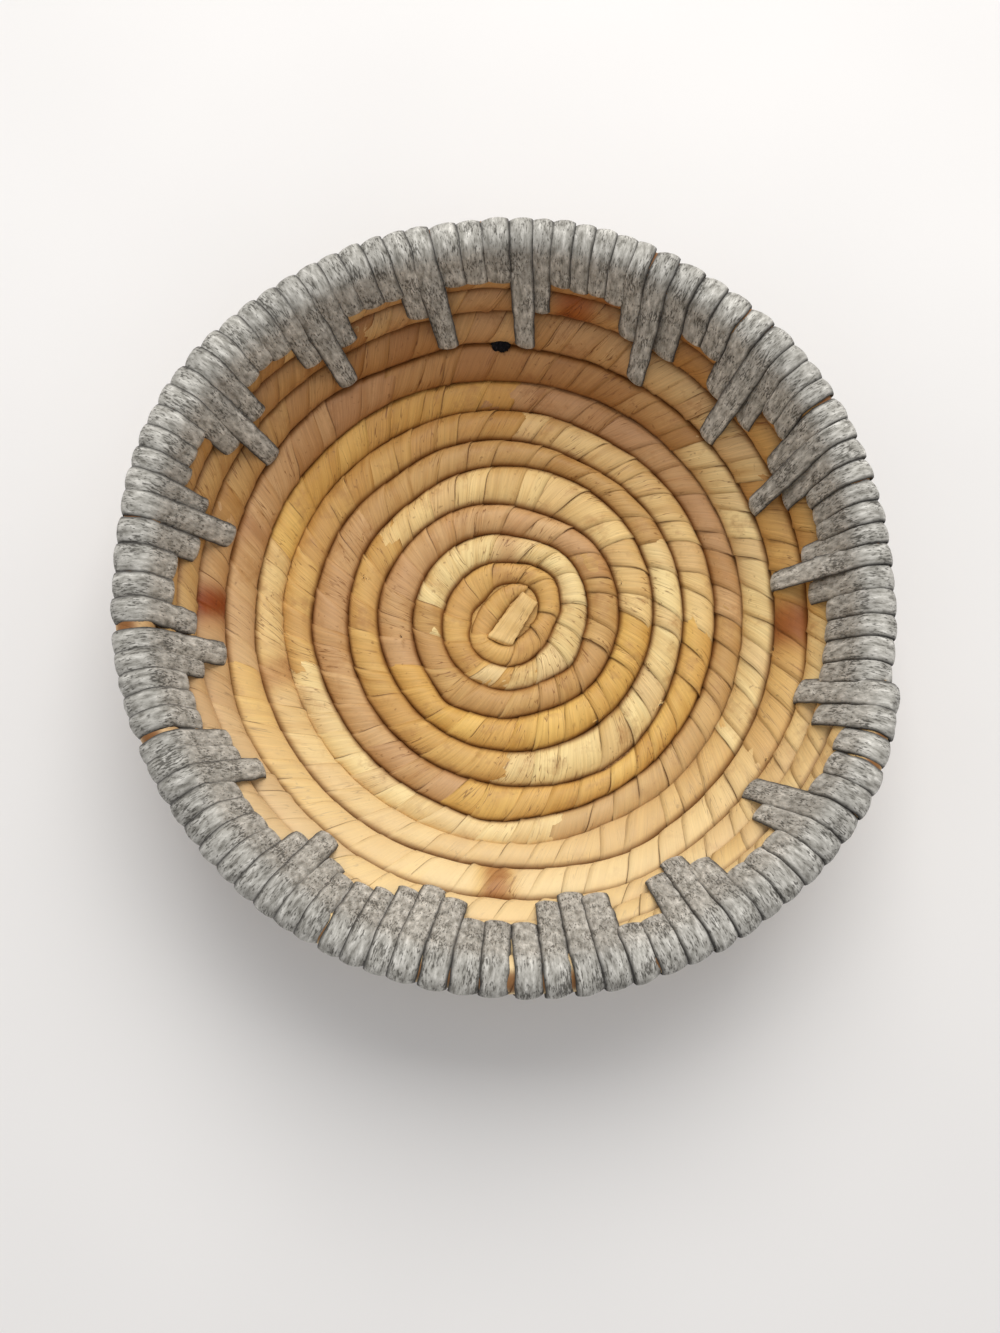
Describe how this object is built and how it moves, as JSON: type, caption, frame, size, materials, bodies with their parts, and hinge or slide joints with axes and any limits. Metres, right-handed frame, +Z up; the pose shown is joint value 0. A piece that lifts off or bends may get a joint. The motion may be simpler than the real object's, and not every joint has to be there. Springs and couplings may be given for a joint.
{
  "type": "coiled basket",
  "caption": "Round open bowl of a basket: one rope, wrapped in leaf strips, coiled into a flat base and flared wall, its top turns bound with a flat ribbon that steps down in long stitches.",
  "frame": {"origin": "on the underside, below the middle of the base spiral, in the plane that the basket stands on", "axes": "+Z up out of the open mouth, +X to the right and +Y away from a person who looks down into the basket with the ribbon's dark knot on the far side"},
  "size_m": [0.22, 0.2211, 0.0638],
  "materials": {
    "rope_fibre": "rough plant fibre, hidden inside the strips",
    "leaf_straw": "dry leaf, satin, straw yellow",
    "leaf_ochre": "dry leaf, satin, ochre",
    "leaf_pale": "dry leaf, satin, pale cream",
    "leaf_tan": "dry leaf, satin, tan",
    "leaf_rose": "dry leaf, satin, pinkish brown",
    "leaf_golden": "dry leaf, satin, golden",
    "starter_pad": "dry leaf, matte",
    "starter_fold": "dry leaf, satin, frayed at the ends",
    "grey_ribbon": "flat woven fibre, grey mixture, matte",
    "knot_black": "black fibre, slight sheen"
  },
  "bodies": {
    "root": {"core_rope": "rope_fibre", "leaf_strip_01": "leaf_ochre", "leaf_strip_02": "leaf_pale", "leaf_strip_03": "leaf_tan", "leaf_strip_04": "leaf_rose", "leaf_strip_05": "leaf_golden", "leaf_strip_06": "leaf_straw", "leaf_strip_07": "leaf_ochre", "leaf_strip_08": "leaf_pale", "leaf_strip_09": "leaf_tan", "leaf_strip_10": "leaf_rose", "leaf_strip_11": "leaf_golden", "leaf_strip_12": "leaf_straw", "leaf_strip_13": "leaf_ochre", "leaf_strip_14": "leaf_pale", "leaf_strip_15": "leaf_tan", "leaf_strip_16": "leaf_rose", "leaf_strip_17": "leaf_golden", "leaf_strip_18": "leaf_straw", "leaf_strip_19": "leaf_ochre", "leaf_strip_20": "leaf_pale", "leaf_strip_21": "leaf_tan", "leaf_strip_22": "leaf_rose", "leaf_strip_23": "leaf_golden", "leaf_strip_24": "leaf_straw", "leaf_strip_25": "leaf_ochre", "leaf_strip_26": "leaf_pale", "leaf_strip_27": "leaf_tan", "leaf_strip_28": "leaf_rose", "leaf_strip_29": "leaf_golden", "leaf_strip_30": "leaf_straw", "leaf_strip_31": "leaf_ochre", "leaf_strip_32": "leaf_pale", "leaf_strip_33": "leaf_tan", "leaf_strip_34": "leaf_rose", "leaf_strip_35": "leaf_golden", "leaf_strip_36": "leaf_straw", "leaf_strip_37": "leaf_ochre", "leaf_strip_38": "leaf_pale", "leaf_strip_39": "leaf_tan", "leaf_strip_40": "leaf_rose", "leaf_strip_41": "leaf_golden", "leaf_strip_42": "leaf_straw", "leaf_strip_43": "leaf_ochre", "leaf_strip_44": "leaf_pale", "leaf_strip_45": "leaf_tan", "leaf_strip_46": "leaf_rose", "leaf_strip_47": "leaf_golden", "leaf_strip_48": "leaf_straw", "centre_starter_pad": "starter_pad", "centre_starter_fold": "starter_fold", "trim_ribbon_1": "grey_ribbon", "trim_ribbon_2": "grey_ribbon", "trim_ribbon_3": "grey_ribbon", "trim_ribbon_4": "grey_ribbon", "trim_ribbon_5": "grey_ribbon", "ribbon_tail_knot": "knot_black"}
  },
  "joints": []
}
